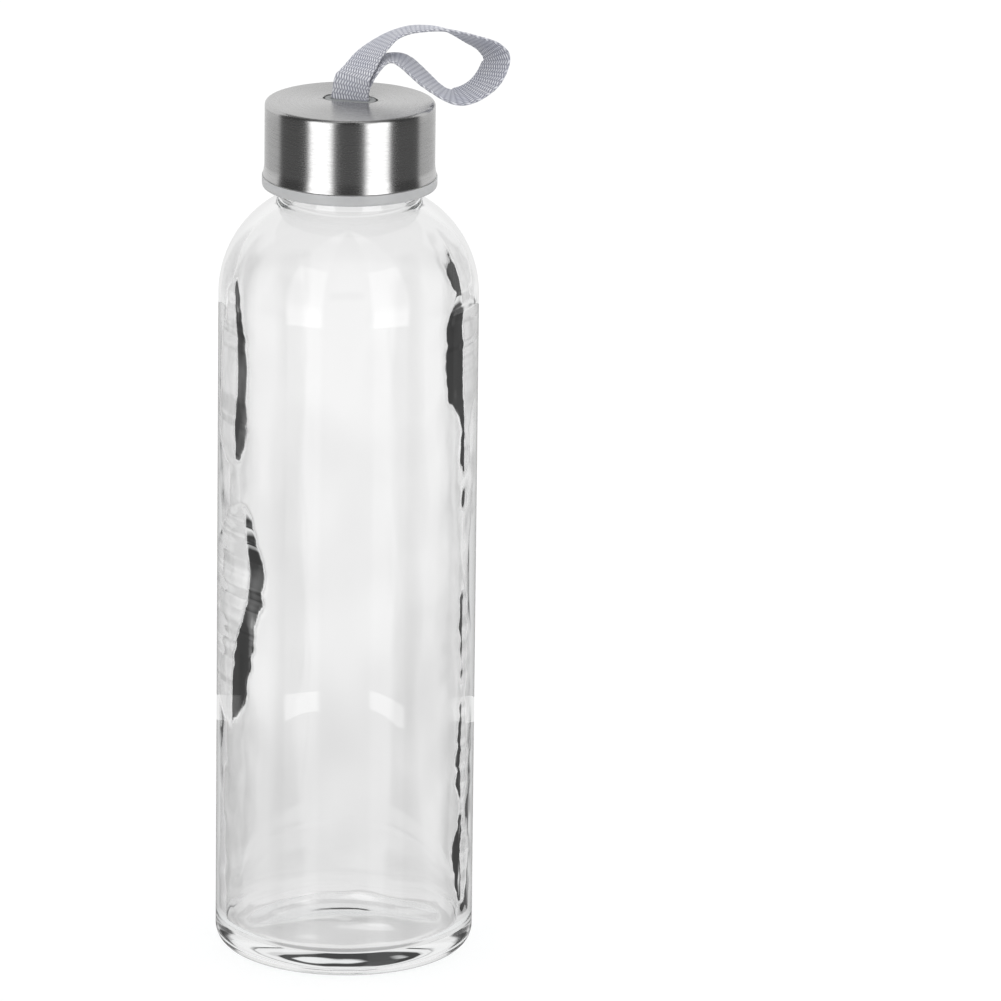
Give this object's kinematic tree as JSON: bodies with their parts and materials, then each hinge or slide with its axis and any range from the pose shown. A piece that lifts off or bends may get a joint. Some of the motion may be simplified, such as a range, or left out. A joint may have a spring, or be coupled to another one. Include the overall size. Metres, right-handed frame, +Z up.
{
  "type": "glass water bottle",
  "caption": "Tall clear glass water bottle with a round shoulder, a brushed steel screw cap over a threaded liner and seal, and a webbing carry loop on top.",
  "frame": {"origin": "centre of the flat ring that the bottle stands on", "axes": "+Z up along the bottle's axis to the cap, -Y to the front, +X towards the free end of the carry loop"},
  "size_m": [0.0727, 0.0654, 0.2382],
  "materials": {
    "glass": "clear, slightly wavy inside, polished outside",
    "cap_steel": "brushed round the side and in rings on top",
    "liner_plastic": "satin, milky",
    "seal_silicone": "soft matte, milky",
    "anchor_plastic": "satin grey",
    "webbing": "ribbed twill weave with a cool sheen"
  },
  "bodies": {
    "bottle": {"glass_body": "glass"},
    "seal": {"seal_ring": "seal_silicone"},
    "cap": {"cap_shell": "cap_steel", "cap_liner": "liner_plastic", "strap_anchor": "anchor_plastic", "strap_ends": "webbing"},
    "strap": {"strap_loop": "webbing"}
  },
  "joints": [
    {"name": "cap_lift", "type": "slide", "parent": "bottle", "child": "seal", "axis": [0, 0, 1], "range_m": [0, 0.021]},
    {"name": "cap_turn", "type": "hinge", "parent": "seal", "child": "cap", "pos_m": [0, 0, 0.2], "axis": [0, 0, 1], "range_deg": [0, 1800]},
    {"name": "strap_flex", "type": "hinge", "parent": "cap", "child": "strap", "pos_m": [0, 0.0026, 0.221], "axis": [0.9563, -0.2924, 0], "range_deg": [-15, 30], "stiffness_Nm_per_rad": 0.005}
  ],
  "couplings": [
    {"joint": "cap_turn", "follows": "cap_lift", "rad_per_m": 1496}
  ]
}
